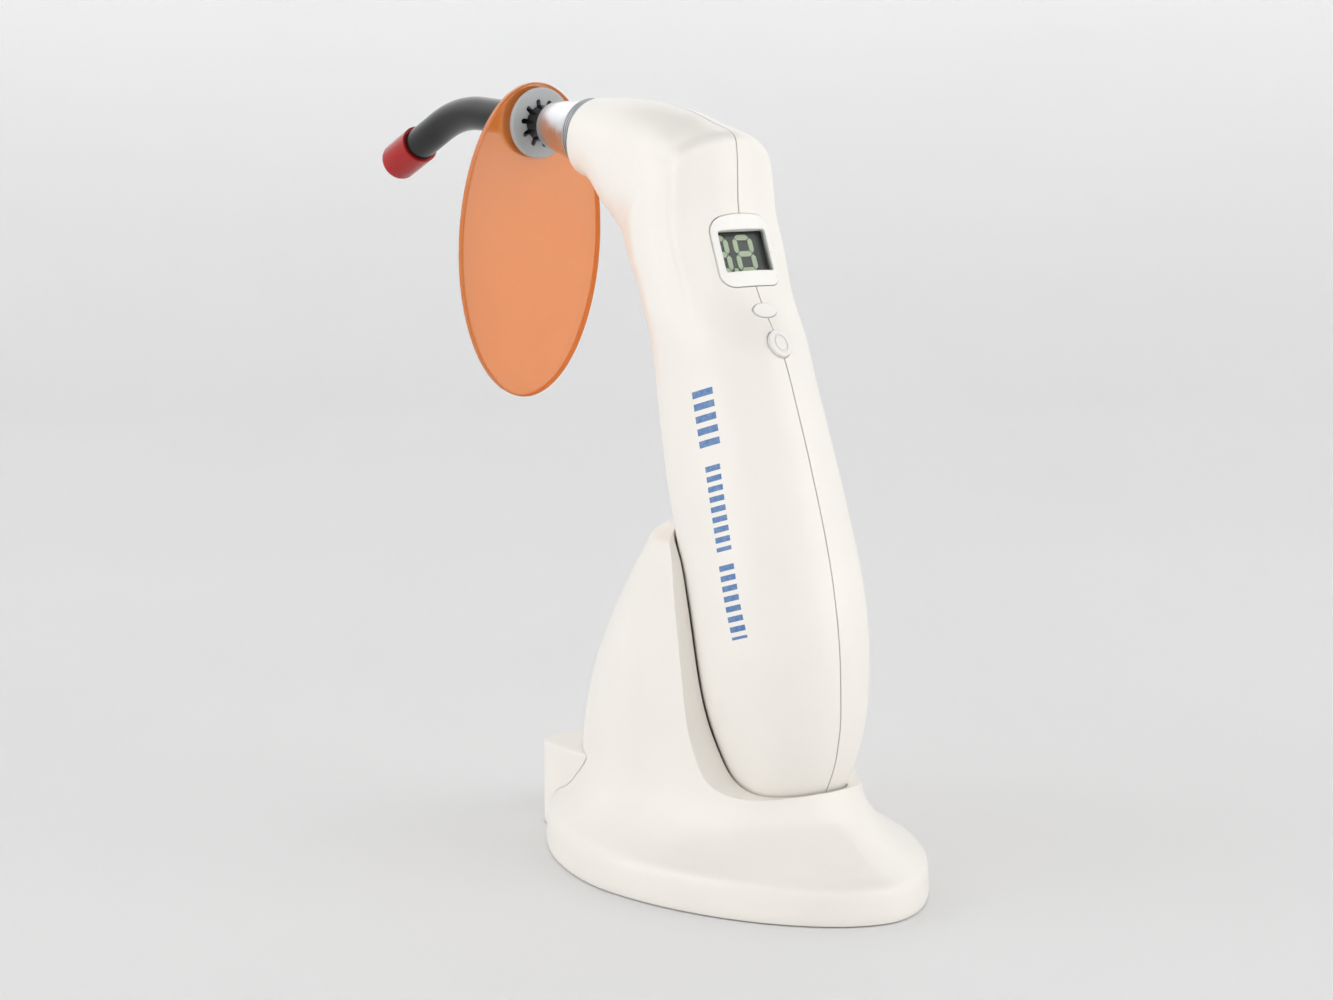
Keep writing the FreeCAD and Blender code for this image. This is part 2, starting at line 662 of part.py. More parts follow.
# ---------------------------------------------------------------- light guide
def guide_path(rear):
    """Centre line from a station inside the head, out through the bend to the tip."""
    start = on_nose(rear)
    bend_in = on_nose(-BEND_START)
    centre = bend_in + NOSE_DOWN * BEND_RADIUS
    half = math.radians(BEND_ANGLE / 2)
    full = math.radians(BEND_ANGLE)
    mid = centre - NOSE_DOWN * (BEND_RADIUS * math.cos(half)) - NOSE_BACK * (BEND_RADIUS * math.sin(half))
    end = centre - NOSE_DOWN * (BEND_RADIUS * math.cos(full)) - NOSE_BACK * (BEND_RADIUS * math.sin(full))
    heading = tip_direction()
    arc = Part.Arc(bend_in, mid, end).toShape()
    tail = Part.makeLine(end, end + heading * TIP_STRAIGHT)
    return Part.Wire([Part.makeLine(start, bend_in), arc, tail]), end


def tip_direction():
    full = math.radians(BEND_ANGLE)
    return NOSE_BACK * (-math.cos(full)) + NOSE_DOWN * math.sin(full)


def sweep_disc(radius, rear):
    path, end = guide_path(rear)
    ring = Part.Wire([Part.Circle(on_nose(rear), NOSE_BACK, radius).toShape()])
    return path.makePipeShell([ring], True, False)


def build_guide_sleeve():
    return sweep_disc(ROD_R, 8.8).cut(sweep_disc(3.4, 8.8))


def build_guide_core():
    return sweep_disc(3.4, 8.8)


def build_ferrule():
    start = -COLLAR_LEN - NOZZLE_LEN + 0.6
    return nose_tube(FERRULE_R, ROD_R, start, 8.8)


def build_tip_cap():
    path, end = guide_path(8.8)
    heading = tip_direction()
    rim = end + heading * CAP_RIM
    cap = Part.makeCylinder(CAP_R, CAP_LEN, rim, heading)
    dome = [e for e in cap.Edges if e.Closed and e.Length > 20
            and (e.CenterOfMass - rim).Length > CAP_LEN / 2]
    cap = cap.makeFillet(2.2, dome)
    hole = Part.makeCylinder(ROD_R + 0.04, TIP_STRAIGHT - CAP_RIM + 0.3, rim, heading)
    return cap.cut(hole)


# ---------------------------------------------------------------- shield
def build_shield():
    rear = RING_STATION + FLANGE_T
    centre = on_nose(-rear) + NOSE_DOWN * SHIELD_DROP
    ellipse = Part.Ellipse(V(0, 0, 0), SHIELD_HALF_H, SHIELD_HALF_W)
    face = Part.Face(Part.Wire([ellipse.toShape()]))
    disc = face.extrude(V(0, 0, SHIELD_T))
    rims = [e for e in disc.Edges if e.Closed]
    disc = disc.makeFillet(0.5, rims)
    matrix = FreeCAD.Matrix(NOSE_DOWN.x, 0, -NOSE_BACK.x, centre.x,
                            NOSE_DOWN.y, -1, -NOSE_BACK.y, centre.y,
                            NOSE_DOWN.z, 0, -NOSE_BACK.z, centre.z,
                            0, 0, 0, 1)
    disc.Placement = FreeCAD.Placement(matrix)
    return disc.cut(nose_disc(7.2, -rear - SHIELD_T - 1, -rear + 1))


def build_grommet():
    rear = -RING_STATION
    mid = rear - FLANGE_T
    back_flange = nose_disc(GROMMET_R, rear - 0.9, rear)
    back_rim = [e for e in back_flange.Edges if e.Closed and e.CenterOfMass.distanceToPoint(on_nose(rear)) < 0.1]
    back_flange = back_flange.makeFillet(0.5, back_rim)
    taper = Part.makeCone(GROMMET_R - 0.8, GROMMET_R, FLANGE_T - 0.9, on_nose(mid), NOSE_BACK)
    neck = nose_disc(7.2, mid - SHIELD_T, mid)
    front_flange = nose_disc(GROMMET_R, mid - SHIELD_T - 1.4, mid - SHIELD_T)
    grommet = back_flange.fuse([taper, neck, front_flange]).removeSplitter()
    grommet = grommet.cut(nose_disc(ROD_R + 0.05, rear - 8, rear + 1))
    for i in range(SLOTS):
        angle = math.radians(360 * i / SLOTS + 12)
        out = V(0, math.sin(angle), 0) + NOSE_DOWN * math.cos(angle)
        tip = on_nose(rear - 8) + out * 5.1
        slot = Part.makeCylinder(0.62, 9.5, tip, NOSE_BACK)
        side = out.cross(NOSE_BACK)
        corners = [tip + side * 0.62, tip - side * 0.62, tip - side * 0.62 - out * 3, tip + side * 0.62 - out * 3]
        slot = slot.fuse(extrude(corners, NOSE_BACK * 9.5))
        grommet = grommet.cut(slot)
    return grommet


# ---------------------------------------------------------------- stand
def stand_loft(inset, top=200.0, bottom=0.0):
    """Outer surface of the stand, or the same moved inward."""
    rows = [row[0] for row in STAND if bottom <= row[0] <= top]
    return skin([stand_wire(z, inset) for z in rows])


def opening_cutter(back_off):
    """Everything removed behind the fin and above the cup lip; back_off keeps a wall for the hollow."""
    curve = Part.BSplineCurve()
    points = []
    for i, (x, z) in enumerate(OPENING):
        x0, z0 = OPENING[max(i - 1, 0)]
        x1, z1 = OPENING[min(i + 1, len(OPENING) - 1)]
        normal = V(z1 - z0, 0, x0 - x1).normalize()
        points.append(V(x, -60, z) + normal * back_off)
    curve.interpolate(Points=points)
    edges = [curve.toShape(),
             Part.makeLine(points[-1], V(90, -60, points[-1].z)),
             Part.makeLine(V(90, -60, points[-1].z), V(90, -60, 120)),
             Part.makeLine(V(90, -60, 120), V(points[0].x, -60, 120)),
             Part.makeLine(V(points[0].x, -60, 120), points[0])]
    return Part.Face(Part.Wire(edges)).extrude(V(0, 120, 0))


def build_stand_shell():
    outer = stand_loft(0)
    hollow = stand_loft(STAND_WALL, top=73.0)
    hollow.translate(V(0, 0, -ROOF_DROP))
    hollow = hollow.cut(cradle_loft(CRADLE_GAP + 2.1, 9.4))
    hollow = hollow.cut(opening_cutter(STAND_WALL))
    shell = outer.cut(opening_cutter(0)).cut(cradle_loft(CRADLE_GAP, 11.6))
    shell = shell.cut(hollow)
    for x, y in BASE_SCREWS:
        boss = Part.makeCylinder(3.2, 30, V(x, y, PLATE_Z[1])).common(outer)
        shell = shell.fuse(boss.cut(cradle_loft(CRADLE_GAP + 1, 10)))
    for x, y in BASE_SCREWS:
        shell = shell.cut(Part.makeCylinder(1.25, 7.5, V(x, y, PLATE_Z[1] - 1)))
    for x in PIN_X:
        shell = shell.cut(Part.makeCylinder(1.0, 8, V(x, 0, 7)))
    shell = shell.cut(box(-60, -44, -11.1, 11.1, 3.9, 16.1))
    solids = sorted(shell.Solids, key=lambda s: s.Volume)
    return solids[-1]


def build_base_plate():
    low, high = PLATE_Z
    plate = Part.Face(stand_wire(1.6, STAND_WALL + 0.15)).extrude(V(0, 0, high - low))
    plate.translate(V(0, 0, low - 1.6))
    for x, y in BASE_SCREWS:
        plate = plate.cut(Part.makeCylinder(1.4, 5, V(x, y, low - 1)))
        plate = plate.cut(Part.makeCylinder(2.7, 1.2, V(x, y, low - 0.1)))
    for x, y in BOARD_POSTS:
        plate = plate.fuse(Part.makeCylinder(2.0, 8.0, V(x, y, high - 0.1)))
    return plate.removeSplitter()


def build_pad():
    pad = Part.Face(stand_wire(1.6, PAD_INSET)).extrude(V(0, 0, PLATE_Z[0]))
    pad.translate(V(0, 0, -1.6))
    for x, y in BASE_SCREWS:
        pad = pad.cut(Part.makeCylinder(3.0, 4, V(x, y, -1)))
    return pad


def build_base_screws():
    screws = []
    for x, y in BASE_SCREWS:
        head = Part.makeCylinder(2.5, 0.9, V(x, y, PLATE_Z[0] + 0.2))
        shank = Part.makeCylinder(1.23, 6.2, V(x, y, PLATE_Z[0] + 1.1))
        slot = box(x - 1.4, x + 1.4, y - 0.3, y + 0.3, PLATE_Z[0], PLATE_Z[0] + 0.6)
        screws.append(head.fuse(shank).cut(slot))
    return Part.makeCompound(screws)


def build_ballast():
    plate = Part.Face(stand_wire(5.0, 7.0)).extrude(V(0, 0, 4.0))
    plate.translate(V(0, 0, PLATE_Z[1] + 0.02 - 5.0))
    plate = plate.cut(box(-60, -37.5, -14, 14, 0, 12))
    plate = plate.cut(box(9.5, 27.0, -6, 6, 0, 12))
    for x, y in BASE_SCREWS:
        plate = plate.cut(Part.makeCylinder(3.5, 12, V(x, y, 0)))
    for x, y in BOARD_POSTS:
        plate = plate.cut(Part.makeCylinder(2.3, 12, V(x, y, 0)))
    return plate


def build_pin_block():
    block = rounded_box(11.0, 25.5, -4.2, 4.2, PLATE_Z[1] + 0.02, 9.3, 1.5)
    for x in PIN_X:
        block = block.cut(Part.makeCylinder(1.7, 5.2, V(x, 0, 3.8)))
        block = block.cut(Part.makeCylinder(1.0, 8, V(x, 0, 3.8)))
    return block


def build_charge_pins():
    pins = []
    for x in PIN_X:
        pin = Part.makeCylinder(0.9, PIN_TOP - 7.4, V(x, 0, 7.4))
        crown = [e for e in pin.Edges if e.Closed and e.CenterOfMass.z > 12]
        pin = pin.makeFillet(0.35, crown)
        pins.append(pin.fuse(Part.makeCylinder(1.6, 0.9, V(x, 0, 7.4))).removeSplitter())
    return Part.makeCompound(pins)


def build_coil(x):
    """Eight-sided wire wound up a helix from the floor of the pin block."""
    helix = Part.makeHelix(SPRING_PITCH, SPRING_HEIGHT, SPRING_R)
    helix.translate(V(x, 0, SPRING_FOOT))
    corners = []
    for k in range(8):
        roll = math.pi * k / 4
        reach = x + SPRING_R + SPRING_WIRE_R * math.cos(roll)
        corners.append(V(reach, 0, SPRING_FOOT + SPRING_WIRE_R * math.sin(roll)))
    wire = Part.makePolygon(corners + [corners[0]])
    return Part.Wire(helix.Edges).makePipeShell([wire], True, True)


def build_pin_springs():
    return Part.makeCompound([build_coil(x) for x in PIN_X])


def build_charger_board():
    board = rounded_box(-39.5, -5, -12, 12, 11.0, 12.5, 2.0)
    return board


def build_charger_parts():
    coil = tube(4.5, 1.8, 5.0, V(-18, -5, 12.5), V(0, 0, 1))
    can = Part.makeCylinder(3.0, 9.0, V(-28, 6, 12.5))
    chip = box(-20, -13, 3, 9, 12.5, 14.0)
    return Part.makeCompound([coil, can, chip])


def build_inlet():
    """Block that sticks out of the front of the stand, with a tongue through the shell wall."""
    block = box(INLET_FRONT, -28, -INLET_HALF_W, INLET_HALF_W, 0.4, INLET_TOP)
    corners = [e for e in block.Edges if abs(e.CenterOfMass.x - INLET_FRONT) < 0.01
               and abs(e.tangentAt(e.FirstParameter).z) > 0.99]
    block = block.makeFillet(7.0, corners)
    top = [e for e in block.Edges if e.CenterOfMass.z > INLET_TOP - 0.01]
    block = block.makeFillet(0.8, top)
    block = block.cut(stand_loft(-0.03))
    solids = sorted(block.Solids, key=lambda s: s.Volume)
    block = solids[-1]
    tongue = box(-56, -46.5, -11, 11, 4.0, 16.0)
    block = block.fuse(tongue).removeSplitter()
    return block.cut(box(-60, -40, -4.55, 4.55, 5.05, 14.95))


def build_power_jack():
    body = box(INLET_FRONT + 0.6, -45.5, -4.5, 4.5, 5.1, 14.9)
    body = body.cut(Part.makeCylinder(2.85, 9.5, V(INLET_FRONT, 0, 10.0), V(1, 0, 0)))
    return body.cut(Part.makeCylinder(0.82, 11.6, V(INLET_FRONT, 0, 10.0), V(1, 0, 0)))


def build_jack_pin():
    pin = Part.makeCylinder(1.05, 7.85, V(INLET_FRONT + 1.6, 0, 10.0), V(1, 0, 0))
    tip = [e for e in pin.Edges if e.Closed and e.CenterOfMass.x < INLET_FRONT + 2]
    root = Part.makeCylinder(0.8, 2.0, V(INLET_FRONT + 9.45, 0, 10.0), V(1, 0, 0))
    return pin.makeFillet(0.5, tip).fuse(root)


# ---------------------------------------------------------------- build everything
def build_handpiece():
    outer = body_loft(0)
    cavity = body_loft(WALL, lowest=15.0).cut(nose_disc(20, -10, 4.8))
    widths = [surface_side(outer, x, z) for x, z in CASE_SCREWS]
    groove = seam_cutter(outer)
    export("left_shell", build_shell(outer, cavity, -1, widths).cut(groove))
    export("right_shell", build_shell(outer, cavity, 1, widths).cut(groove))
    export("case_screws", build_case_screws(widths))
    export("nose_collar", build_collar())
    export("retaining_ring", build_retaining_ring())
    export("nozzle_cone", build_nozzle())
    export("collimator_lens", build_lens())
    export("led_emitter", build_led())
    export("led_board", build_led_board())
    export("heat_sink", build_heat_sink())
    export("display_bezel", build_bezel())
    export("display_window", build_window())
    export("lcd_module", build_lcd())
    export("lcd_segments", build_segments())
    export("mode_button", build_mode_button())
    export("power_button", build_power_button())
    export("main_board", build_main_board())
    export("board_chips", build_board_parts())
    export("tact_switches", build_tact_switches())
    export("buzzer", build_buzzer())
    export("battery_cell", build_battery())
    export("battery_tabs", build_battery_tabs())
    export("charge_contacts", build_charge_contacts())


def build_guide_and_shield():
    export("guide_sleeve", build_guide_sleeve())
    export("guide_core", build_guide_core())
    export("guide_ferrule", build_ferrule())
    export("tip_cap", build_tip_cap())
    export("shield_disc", build_shield())
    export("shield_grommet", build_grommet())


def build_stand():
    export("stand_shell", build_stand_shell())
    export("base_plate", build_base_plate())
    export("rubber_pad", build_pad())
    export("base_screws", build_base_screws())
    export("ballast_plate", build_ballast())
    export("pin_block", build_pin_block())
    export("charge_pins", build_charge_pins())
    export("pin_springs", build_pin_springs())
    export("charger_board", build_charger_board())
    export("charger_components", build_charger_parts())
    export("inlet_block", build_inlet())
    export("power_jack", build_power_jack())
    export("jack_pin", build_jack_pin())


build_guide_and_shield()
build_stand()
build_handpiece()
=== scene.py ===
import json
import math

import bmesh
import bpy
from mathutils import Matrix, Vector

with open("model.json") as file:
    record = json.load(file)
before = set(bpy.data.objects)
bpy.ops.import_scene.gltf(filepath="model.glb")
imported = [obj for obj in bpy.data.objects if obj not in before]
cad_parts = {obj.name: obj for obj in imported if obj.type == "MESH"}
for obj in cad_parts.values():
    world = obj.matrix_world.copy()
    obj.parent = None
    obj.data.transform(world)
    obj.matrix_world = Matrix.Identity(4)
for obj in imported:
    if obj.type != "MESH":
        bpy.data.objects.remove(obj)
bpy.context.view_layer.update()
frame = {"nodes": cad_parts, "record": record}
nodes = frame["nodes"]

# ---------------------------------------------------------------- driving values (metres, degrees)
VIEW_AZIMUTH = 53.585
VIEW_ELEVATION = 8.819
VIEW_DISTANCE = 0.6274
VIEW_LENS = 74.3
VIEW_AIM = Vector((-0.0258, 0.0, 0.0796))

STAGE_RADIUS = 2.2
STAGE_FLAT = 0.9
STAGE_HEIGHT = 2.4
STAGE_SIDES = 96
STAGE_PAPER = (0.86, 0.86, 0.86)
WALL_GLOW = 0.94
SIDE_POWER = 2.15
SIDE_TURN = 72               # degrees round from the camera to each side light
SIDE_DISTANCE = 0.95
SIDE_SIZE = (0.7, 1.0)
LEFT_RISE = 8                # elevation of the left and right side lights
RIGHT_RISE = 14
TOP_POWER = 0.1
TOP_RISE = 82
TOP_DISTANCE = 1.1
TOP_SIZE = (1.1, 1.1)
FILL = 0.13

WHITE_PLASTIC = (0.900, 0.866, 0.806)
BLUE_PRINT = (0.038, 0.165, 0.42)

# Printed bars on the left shell: start and heading in the side view, then
# (start, end, half height, pitch) of each group of bars along that line
PRINT_START = (0.00615, 0.1088)
PRINT_HEADING = (0.305, -0.952)
PRINT_GROUPS = [
    (0.0000, 0.0135, 0.0029, 0.0027),
    (0.0165, 0.0350, 0.0021, 0.0022),
    (0.0380, 0.0540, 0.0021, 0.0022),
]
PRINT_FILL = 0.55

PRINT_SIDE = -0.012          # the bars are only on the shell's surface beyond this y

NOSE_TILT = math.radians(4.2)
SHIELD_AXIS = (math.cos(NOSE_TILT), 0.0, -math.sin(NOSE_TILT))
SHIELD_FLAT = 0.9            # faces turned this far towards the axis are the sheet's flat sides
SHIELD_CLEAR = 0.42          # share of light that passes straight through each face of the sheet
SHIELD_GLOW = 0.45           # share of the rest that is scattered through the sheet
PANE_REFLECT = 0.2           # share of a bare pane's reflection that the display window keeps


# ---------------------------------------------------------------- node helpers
class Graph:
    """Short names for building one material's node tree."""

    def __init__(self, name):
        self.material = bpy.data.materials.new(name)
        self.material.use_nodes = True
        self.tree = self.material.node_tree
        self.tree.nodes.clear()
        self.output = self.tree.nodes.new("ShaderNodeOutputMaterial")
        self.place = self.tree.nodes.new("ShaderNodeTexCoord").outputs["Object"]

    def node(self, kind, **inputs):
        node = self.tree.nodes.new(kind)
        for key, value in inputs.items():
            self.feed(node.inputs[key.replace("_", " ")], value)
        return node

    def feed(self, socket, value):
        if isinstance(value, bpy.types.NodeSocket):
            self.tree.links.new(value, socket)
        elif isinstance(value, tuple) and len(value) == 3 and socket.type == "RGBA":
            socket.default_value = (*value, 1.0)
        else:
            socket.default_value = value

    def math(self, operation, a, b=0.0, clamp=False):
        node = self.tree.nodes.new("ShaderNodeMath")
        node.operation = operation
        node.use_clamp = clamp
        self.feed(node.inputs[0], a)
        self.feed(node.inputs[1], b)
        return node.outputs[0]

    def noise(self, scale, detail=3.0, stretch=None):
        place = self.place
        if stretch is not None:
            mapping = self.node("ShaderNodeMapping", Vector=place, Scale=stretch)
            place = mapping.outputs["Vector"]
        node = self.node("ShaderNodeTexNoise", Vector=place, Scale=scale, Detail=detail)
        return node.outputs["Fac"]

    def span(self, value, low, high):
        """Noise (0.3 to 0.7 in practice) mapped on to low..high."""
        node = self.node("ShaderNodeMapRange", Value=value, From_Min=0.3, From_Max=0.7,
                         To_Min=low, To_Max=high)
        return node.outputs["Result"]

    def mix(self, factor, a, b, blend="MIX"):
        node = self.tree.nodes.new("ShaderNodeMix")
        node.data_type = "RGBA"
        node.blend_type = blend
        self.feed(node.inputs["Factor"], factor)
        colours = [s for s in node.inputs if s.type == "RGBA"]
        self.feed(colours[0], a)
        self.feed(colours[1], b)
        return [s for s in node.outputs if s.type == "RGBA"][0]

    def bump(self, height, distance, normal=None):
        node = self.node("ShaderNodeBump", Height=height, Distance=distance, Strength=1.0)
        if normal is not None:
            self.feed(node.inputs["Normal"], normal)
        return node.outputs["Normal"]

    def soft_edge(self, radius):
        bevel = self.node("ShaderNodeBevel", Radius=radius)
        bevel.samples = 4
        return bevel.outputs["Normal"]

    def crevice(self, distance):
        """1 on open surfaces, falling towards 0 in gaps and corners."""
        node = self.node("ShaderNodeAmbientOcclusion", Distance=distance)
        node.samples = 4
        return node.outputs["AO"]

    def finish(self, shader):
        self.tree.links.new(shader, self.output.inputs["Surface"])
        return self.material


def shade(colour, factor):
    return tuple(min(1.0, c * factor) for c in colour)


# ---------------------------------------------------------------- materials
def plastic(name, colour, roughness=0.34, coat=0.0, grain=2600.0, grain_depth=0.000012,
            edge=0.00035, painted_shade=0.14, variation=0.02, patchy=1.0, overlay=None, shine=0.5):
    """Moulded plastic: faint colour drift, fine surface grain, rounded edges, painted shade in gaps and
    corners.
    """
    g = Graph(name)
    drift = g.noise(38.0, 2.0)
    base = g.mix(g.span(drift, 0.0, 1.0), shade(colour, 1 - variation), shade(colour, 1 + variation))
    if overlay is not None:
        base = overlay(g, base)
    # painted shade: the colour is darkened where ambient occlusion finds gaps and corners
    ao_shade = g.math("POWER", g.crevice(0.0022), 0.6)
    base = g.mix(g.math("MULTIPLY", g.math("SUBTRACT", 1.0, ao_shade), painted_shade), base, shade(colour, 0.32))
    rough = g.span(g.noise(420.0, 4.0), roughness - 0.035 * patchy, roughness + 0.05 * patchy)
    normal = g.bump(g.noise(grain, 3.0), grain_depth, normal=g.soft_edge(edge))
    shader = g.node("ShaderNodeBsdfPrincipled", Base_Color=base, Roughness=rough, Normal=normal,
                    Coat_Weight=coat, Coat_Roughness=0.12)
    shader.inputs["Specular IOR Level"].default_value = shine
    return g.finish(shader.outputs["BSDF"])


def metal(name, colour, roughness=0.24, grain_scale=(9000.0, 250.0, 250.0), grain_depth=0.000008,
          edge=0.0002):
    """Turned metal: fine rings across the axis, smudges in the roughness, slightly worn edges and painted
    shade in gaps and corners.
    """
    g = Graph(name)
    rings = g.noise(1.0, 4.0, grain_scale)
    smudge = g.noise(160.0, 3.0)
    base = g.mix(g.span(smudge, 0.0, 1.0), shade(colour, 0.9), shade(colour, 1.06))
    # painted shade: the colour is darkened where ambient occlusion finds gaps and corners
    ao_shade = g.math("SUBTRACT", 1.0, g.crevice(0.0012))
    base = g.mix(g.math("MULTIPLY", ao_shade, 0.7), base, shade(colour, 0.25))
    rough = g.math("ADD", g.span(smudge, roughness - 0.05, roughness + 0.07), g.span(rings, -0.03, 0.03))
    normal = g.bump(rings, grain_depth, normal=g.soft_edge(edge))
    shader = g.node("ShaderNodeBsdfPrincipled", Base_Color=base, Metallic=1.0, Roughness=rough, Normal=normal)
    return g.finish(shader.outputs["BSDF"])


def rubber(name, colour, roughness=0.6):
    g = Graph(name)
    speck = g.noise(1500.0, 4.0)
    base = g.mix(g.span(g.noise(60.0, 2.0), 0.0, 1.0), shade(colour, 0.94), shade(colour, 1.05))
    # painted shade: the colour is darkened where ambient occlusion finds gaps and corners
    ao_shade = g.math("SUBTRACT", 1.0, g.crevice(0.0015))
    base = g.mix(g.math("MULTIPLY", ao_shade, 0.6), base, shade(colour, 0.3))
    rough = g.span(g.noise(300.0, 3.0), roughness - 0.06, roughness + 0.08)
    normal = g.bump(speck, 0.00002, normal=g.soft_edge(0.0003))
    shader = g.node("ShaderNodeBsdfPrincipled", Base_Color=base, Roughness=rough, Normal=normal,
                    Sheen_Weight=0.12, Sheen_Roughness=0.5)
    return g.finish(shader.outputs["BSDF"])


def print_mask(g):
    """1 inside the printed bars, worked out from the place on the shell's outer left side."""
    axes = g.node("ShaderNodeSeparateXYZ", Vector=g.place).outputs
    from_x = g.math("SUBTRACT", axes["X"], PRINT_START[0])
    from_z = g.math("SUBTRACT", axes["Z"], PRINT_START[1])
    along = g.math("ADD", g.math("MULTIPLY", from_x, PRINT_HEADING[0]),
                   g.math("MULTIPLY", from_z, PRINT_HEADING[1]))
    across = g.math("ADD", g.math("MULTIPLY", from_x, -PRINT_HEADING[1]),
                    g.math("MULTIPLY", from_z, PRINT_HEADING[0]))
    total = None
    for start, end, half_height, pitch in PRINT_GROUPS:
        inside = g.math("MULTIPLY", g.math("GREATER_THAN", along, start), g.math("LESS_THAN", along, end))
        tall = g.math("LESS_THAN", g.math("ABSOLUTE", across), half_height)
        step = g.math("DIVIDE", g.math("SUBTRACT", along, start), pitch)
        bar = g.math("LESS_THAN", g.math("FRACT", step), PRINT_FILL)
        group = g.math("MULTIPLY", g.math("MULTIPLY", inside, tall), bar)
        total = group if total is None else g.math("MAXIMUM", total, group)
    outside = g.math("LESS_THAN", axes["Y"], PRINT_SIDE)
    return g.math("MULTIPLY", total, outside)


def printed(g, base):
    worn = g.span(g.noise(900.0, 4.0), 0.86, 1.0)
    return g.mix(g.math("MULTIPLY", print_mask(g), worn, clamp=True), base, BLUE_PRINT)


def orange_shield(name):
    """Tinted sheet: glowing orange faces that let some of the background through, and edge faces painted a
    deeper, darker orange as shade.
    """
    g = Graph(name)
    cloud = g.noise(45.0, 2.0)
    body = g.mix(g.span(cloud, 0.0, 1.0), (0.86, 0.265, 0.035), (0.92, 0.30, 0.05))
    rough = g.span(g.noise(500.0, 4.0), 0.10, 0.18)
    normal = g.bump(g.noise(900.0, 2.0), 0.000004, normal=g.soft_edge(0.0003))
    face = g.node("ShaderNodeBsdfPrincipled", Base_Color=body, Roughness=rough, Normal=normal,
                  Coat_Weight=0.3, Coat_Roughness=0.06)
    glow = g.node("ShaderNodeBsdfTranslucent", Color=(0.98, 0.38, 0.06))
    clear = g.node("ShaderNodeBsdfTransparent", Color=(1.0, 0.95, 0.90))
    lit = g.node("ShaderNodeMixShader", Fac=SHIELD_GLOW)
    g.feed(lit.inputs[1], face.outputs["BSDF"])
    g.feed(lit.inputs[2], glow.outputs["BSDF"])
    facing = g.node("ShaderNodeVectorMath", Vector=g.node("ShaderNodeNewGeometry").outputs["True Normal"])
    facing.operation = "DOT_PRODUCT"
    facing.inputs[1].default_value = SHIELD_AXIS
    flat = g.math("GREATER_THAN", g.math("ABSOLUTE", facing.outputs["Value"]), SHIELD_FLAT)
    sheet = g.node("ShaderNodeMixShader", Fac=g.math("MULTIPLY", flat, SHIELD_CLEAR))
    g.feed(sheet.inputs[1], lit.outputs["Shader"])
    g.feed(sheet.inputs[2], clear.outputs["BSDF"])
    # painted shade: the sheet's edge faces get an opaque, darker orange in place of light running through the
    # sheet's thickness
    shaded_rim = g.node("ShaderNodeBsdfPrincipled", Base_Color=(0.62, 0.16, 0.015), Roughness=rough, Normal=normal)
    shaded_rim.inputs["Coat Weight"].default_value = 0.2
    whole = g.node("ShaderNodeMixShader", Fac=flat)
    g.feed(whole.inputs[1], shaded_rim.outputs["BSDF"])
    g.feed(whole.inputs[2], sheet.outputs["Shader"])
    return g.finish(whole.outputs["Shader"])


def clear_pane(name):
    """Thin clear plastic with a very faint reflection and hairline haze."""
    g = Graph(name)
    haze = g.span(g.noise(700.0, 4.0), 0.02, 0.07)
    gloss = g.node("ShaderNodeBsdfGlossy", Color=(1.0, 1.0, 1.0), Roughness=haze)
    clear = g.node("ShaderNodeBsdfTransparent", Color=(0.96, 0.98, 0.97))
    facing = g.node("ShaderNodeFresnel", IOR=1.35).outputs["Fac"]
    share = g.math("MULTIPLY", facing, PANE_REFLECT, clamp=True)
    pane = g.node("ShaderNodeMixShader", Fac=share)
    g.feed(pane.inputs[1], clear.outputs["BSDF"])
    g.feed(pane.inputs[2], gloss.outputs["BSDF"])
    return g.finish(pane.outputs["Shader"])


def glass_solid(name, colour):
    g = Graph(name)
    rough = g.span(g.noise(600.0, 3.0), 0.02, 0.08)
    normal = g.bump(g.noise(1800.0, 3.0), 0.000003)
    shader = g.node("ShaderNodeBsdfPrincipled", Base_Color=colour, Roughness=rough, Normal=normal, IOR=1.5)
    shader.inputs["Transmission Weight"].default_value = 0.85
    return g.finish(shader.outputs["BSDF"])


def lcd_backing(name):
    """Dark display glass with reflective flecks."""
    g = Graph(name)
    fleck = g.noise(3500.0, 2.0)
    base = g.mix(g.span(fleck, 0.0, 1.0), (0.026, 0.028, 0.024), (0.044, 0.047, 0.040))
    rough = g.span(g.noise(400.0, 3.0), 0.42, 0.52)
    normal = g.bump(fleck, 0.000004)
    shader = g.node("ShaderNodeBsdfPrincipled", Base_Color=base, Roughness=rough, Normal=normal)
    return g.finish(shader.outputs["BSDF"])


def circuit_board(name):
    """Solder mask with raised copper tracks."""
    g = Graph(name)
    brick = g.node("ShaderNodeTexBrick", Vector=g.place, Scale=260.0, Mortar_Size=0.03)
    track = brick.outputs["Fac"]
    base = g.mix(track, (0.015, 0.12, 0.045), (0.03, 0.22, 0.07))
    rough = g.span(g.noise(500.0, 3.0), 0.28, 0.42)
    normal = g.bump(track, 0.00003)
    shader = g.node("ShaderNodeBsdfPrincipled", Base_Color=base, Roughness=rough, Normal=normal)
    return g.finish(shader.outputs["BSDF"])


